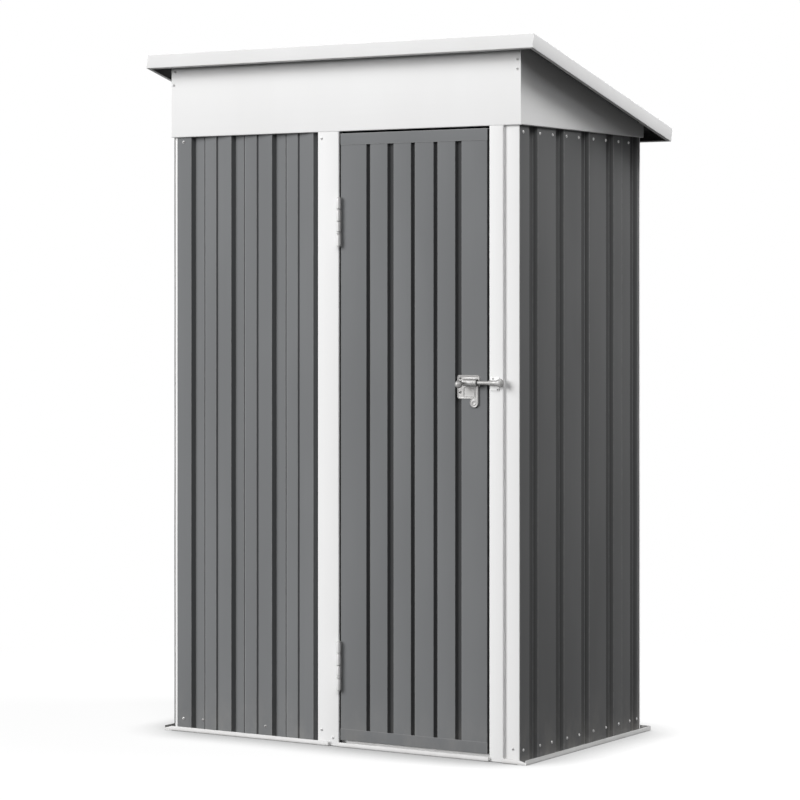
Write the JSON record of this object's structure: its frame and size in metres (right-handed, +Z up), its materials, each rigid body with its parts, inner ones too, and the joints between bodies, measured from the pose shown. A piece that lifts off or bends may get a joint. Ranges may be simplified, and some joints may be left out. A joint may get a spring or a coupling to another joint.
{
  "type": "metal tool shed",
  "caption": "Narrow ribbed steel tool shed with a sloping pent roof, white corner trim and one hinged door held by a barrel bolt.",
  "frame": {"origin": "on the ground, in the middle of the roof's outline", "axes": "+X to the right as seen from the front, +Y to the back, +Z up"},
  "size_m": [1.194, 0.7764, 1.824],
  "materials": {
    "white_steel": "satin",
    "grey_steel": "satin",
    "galvanised_steel": "satin",
    "zinc_plate": "satin"
  },
  "bodies": {
    "root": {"base_rail_front": "galvanised_steel", "base_rail_back": "galvanised_steel", "base_rail_left": "galvanised_steel", "base_rail_right": "galvanised_steel", "corner_post_front_left": "white_steel", "corner_post_front_right": "white_steel", "corner_post_back_left": "white_steel", "corner_post_back_right": "white_steel", "door_post_hinge_side": "white_steel", "door_post_latch_side": "white_steel", "top_rail_front": "white_steel", "top_rail_back": "white_steel", "top_rail_left": "white_steel", "top_rail_right": "white_steel", "front_wall_sheet": "grey_steel", "left_wall_sheet": "grey_steel", "right_wall_sheet": "grey_steel", "back_wall_sheet_left": "grey_steel", "back_wall_sheet_right": "grey_steel", "fascia_front": "white_steel", "fascia_back": "white_steel", "gable_left": "white_steel", "gable_right": "white_steel", "roof_sheet_left": "grey_steel", "roof_sheet_middle": "grey_steel", "roof_sheet_right": "grey_steel", "roof_edge_front": "white_steel", "roof_edge_back": "white_steel", "roof_edge_left": "white_steel", "roof_edge_right": "white_steel", "roof_purlin": "white_steel", "hinge_upper_post_leaf": "zinc_plate", "hinge_lower_post_leaf": "zinc_plate", "latch_keeper": "zinc_plate"},
    "door": {"door_sheet": "grey_steel", "door_rail_top": "grey_steel", "door_rail_bottom": "grey_steel", "door_stile_hinge_side": "grey_steel", "door_stile_latch_side": "grey_steel", "door_brace": "grey_steel", "hinge_upper_door_leaf": "zinc_plate", "hinge_lower_door_leaf": "zinc_plate", "latch_plate": "zinc_plate"},
    "bolt": {"latch_bolt": "zinc_plate"},
    "hasp": {"latch_hasp": "zinc_plate"}
  },
  "joints": [
    {"name": "door_swing", "type": "hinge", "parent": "root", "child": "door", "pos_m": [0.00145, -0.35452, 0.787], "axis": [0, 0, -1], "range_deg": [0, 110]},
    {"name": "bolt_slide", "type": "slide", "parent": "door", "child": "bolt", "axis": [-1, 0, 0], "range_m": [0, 0.035]},
    {"name": "hasp_swing", "type": "hinge", "parent": "door", "child": "hasp", "pos_m": [0.4165, -0.35778, 0.953], "axis": [-1, 0, 0], "range_deg": [0, 90]}
  ]
}
